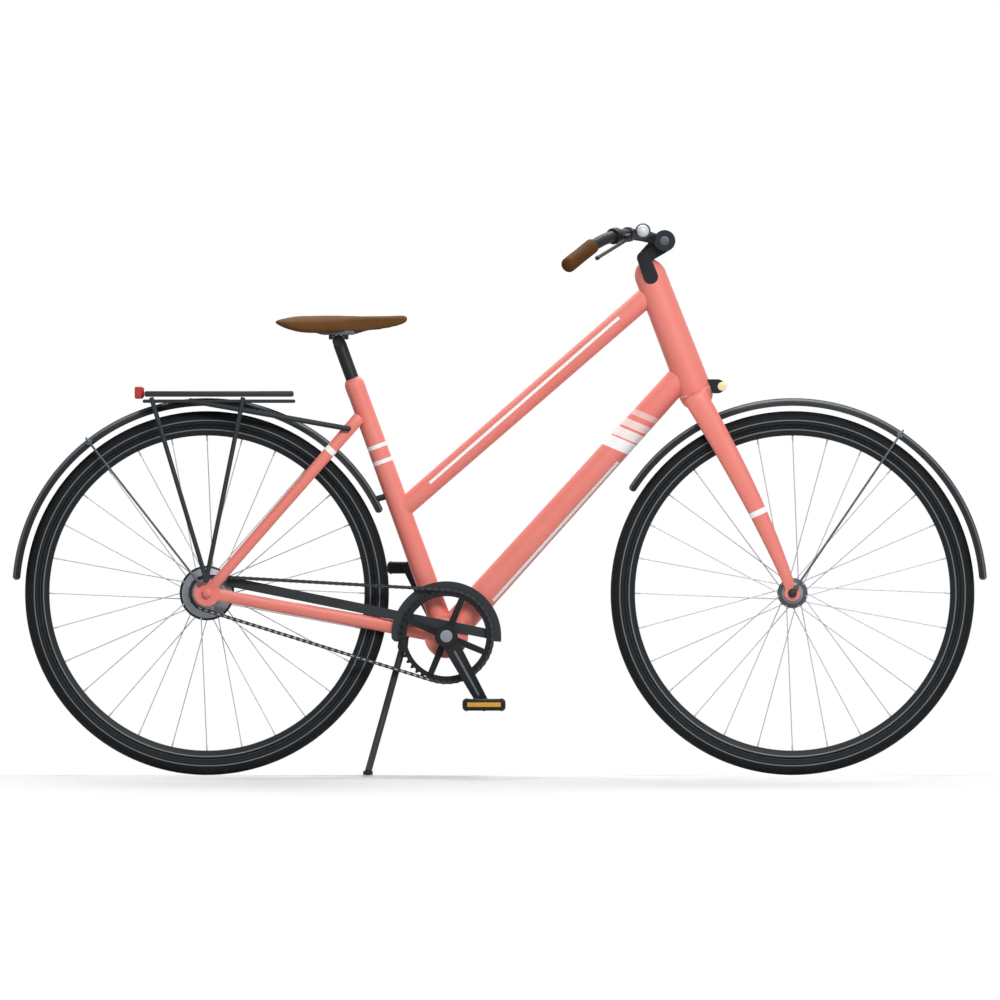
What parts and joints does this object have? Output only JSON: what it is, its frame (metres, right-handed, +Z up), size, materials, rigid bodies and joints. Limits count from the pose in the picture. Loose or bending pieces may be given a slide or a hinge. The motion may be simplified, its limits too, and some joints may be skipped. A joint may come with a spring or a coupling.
{
  "type": "commuter bike",
  "caption": "Commuter bike with a low step-through frame, swept handlebar, mudguards, rear rack, chain guard, lights, bell and double-leg stand.",
  "frame": {"origin": "on the ground, midway between the two axles, in the frame's middle plane", "axes": "+X towards the front wheel, +Z up, +Y to the rider's left; the chain side faces -Y"},
  "size_m": [1.8692, 0.6176, 1.0582],
  "materials": {
    "coral_paint": "gloss",
    "black_paint": "satin",
    "black_plastic": "satin",
    "grey_metal": "satin",
    "tyre_rubber": "matte",
    "chain_steel": "satin",
    "brown_leather": "matte",
    "red_lens": "gloss",
    "cream_lens": "gloss",
    "bell_steel": "polished"
  },
  "bodies": {
    "frame": {"head_tube": "coral_paint", "top_tube": "coral_paint", "down_tube": "coral_paint", "seat_tube": "coral_paint", "bottom_bracket_shell": "coral_paint", "chain_stay_left": "coral_paint", "chain_stay_right": "coral_paint", "seat_stay_left": "coral_paint", "seat_stay_right": "coral_paint", "seat_clamp": "coral_paint", "headset_lower_bearing": "coral_paint", "headset_upper_bearing": "coral_paint", "bottom_bracket_cartridge": "grey_metal", "rear_axle": "black_paint", "rear_mudguard": "black_paint", "rear_mudguard_stay": "grey_metal", "rack_deck": "black_paint", "rack_frame": "black_paint", "tail_light_housing": "black_plastic", "tail_light_lens": "red_lens", "chain_guard": "black_paint", "chain": "chain_steel", "stand_bracket": "black_paint"},
    "fork": {"fork_steerer": "coral_paint", "fork_blade_left": "coral_paint", "fork_blade_right": "coral_paint", "front_axle": "black_paint", "front_mudguard": "black_paint", "front_mudguard_stay": "grey_metal", "headlight_housing": "black_plastic", "headlight_lens": "cream_lens", "head_cover": "coral_paint", "stem": "black_paint", "handlebar": "black_paint", "grip_left": "brown_leather", "grip_right": "brown_leather", "lever_perch_left": "black_plastic", "lever_perch_right": "black_plastic", "bell": "bell_steel"},
    "front_wheel": {"front_tyre": "tyre_rubber", "front_rim": "black_paint", "front_hub": "grey_metal"},
    "rear_wheel": {"rear_tyre": "tyre_rubber", "rear_rim": "black_paint", "rear_hub": "grey_metal"},
    "sprocket": {"sprocket": "grey_metal"},
    "crankset": {"chainring": "black_paint", "crank_right": "black_paint", "crank_left": "black_paint", "crank_spindle": "grey_metal"},
    "pedal_right": {"pedal_right": "black_plastic"},
    "pedal_left": {"pedal_left": "black_plastic"},
    "seatpost": {"seatpost": "black_paint"},
    "saddle": {"saddle_clamp": "grey_metal", "saddle_rails": "grey_metal", "saddle": "brown_leather"},
    "stand": {"stand_legs": "black_paint"},
    "brake_lever_right": {"brake_lever_right": "black_plastic"},
    "brake_lever_left": {"brake_lever_left": "black_plastic"},
    "bell_striker": {"bell_striker": "black_plastic"}
  },
  "joints": [
    {"name": "steering", "type": "hinge", "parent": "frame", "child": "fork", "pos_m": [0.52885, 0, 0.3364], "axis": [-0.36, 0, 0.933], "range_deg": [-70, 70]},
    {"name": "front_wheel_spin", "type": "hinge", "parent": "fork", "child": "front_wheel", "pos_m": [0.5615, 0, 0.349], "axis": [0, 1, 0], "continuous": true},
    {"name": "rear_wheel_spin", "type": "hinge", "parent": "frame", "child": "rear_wheel", "pos_m": [-0.5615, 0, 0.349], "axis": [0, 1, 0], "continuous": true},
    {"name": "crank_spin", "type": "hinge", "parent": "frame", "child": "crankset", "pos_m": [-0.10244, 0, 0.2662], "axis": [0, 1, 0], "continuous": true},
    {"name": "sprocket_spin", "type": "hinge", "parent": "frame", "child": "sprocket", "pos_m": [-0.5615, 0, 0.349], "axis": [0, 1, 0], "continuous": true},
    {"name": "pedal_right_spin", "type": "hinge", "parent": "crankset", "child": "pedal_right", "pos_m": [-0.03018, 0, 0.13475], "axis": [0, 1, 0], "continuous": true},
    {"name": "pedal_left_spin", "type": "hinge", "parent": "crankset", "child": "pedal_left", "pos_m": [-0.17471, 0, 0.39765], "axis": [0, 1, 0], "continuous": true},
    {"name": "seatpost_slide", "type": "slide", "parent": "frame", "child": "seatpost", "axis": [-0.3428, 0, 0.9394], "range_m": [-0.06, 0.11]},
    {"name": "saddle_tilt", "type": "hinge", "parent": "seatpost", "child": "saddle", "pos_m": [-0.30901, 0, 0.83218], "axis": [0, 1, 0], "range_deg": [-10, 10]},
    {"name": "stand_fold", "type": "hinge", "parent": "frame", "child": "stand", "pos_m": [-0.186, 0, 0.246], "axis": [0, 1, 0], "range_deg": [0, 70]},
    {"name": "brake_lever_right_pull", "type": "hinge", "parent": "fork", "child": "brake_lever_right", "pos_m": [0.24494, -0.18056, 1.02741], "axis": [0.0989, 0.2612, -0.9602], "range_deg": [0, 9], "stiffness_Nm_per_rad": 0.3},
    {"name": "brake_lever_left_pull", "type": "hinge", "parent": "fork", "child": "brake_lever_left", "pos_m": [0.24494, 0.18056, 1.02741], "axis": [-0.0989, 0.2612, 0.9602], "range_deg": [0, 9], "stiffness_Nm_per_rad": 0.3},
    {"name": "bell_striker_turn", "type": "hinge", "parent": "fork", "child": "bell_striker", "pos_m": [0.2786, -0.15, 1.0395], "axis": [0, 1, 0], "range_deg": [0, 15], "stiffness_Nm_per_rad": 0.02}
  ],
  "couplings": [
    {"joint": "sprocket_spin", "follows": "crank_spin", "ratio": 2.75}
  ]
}
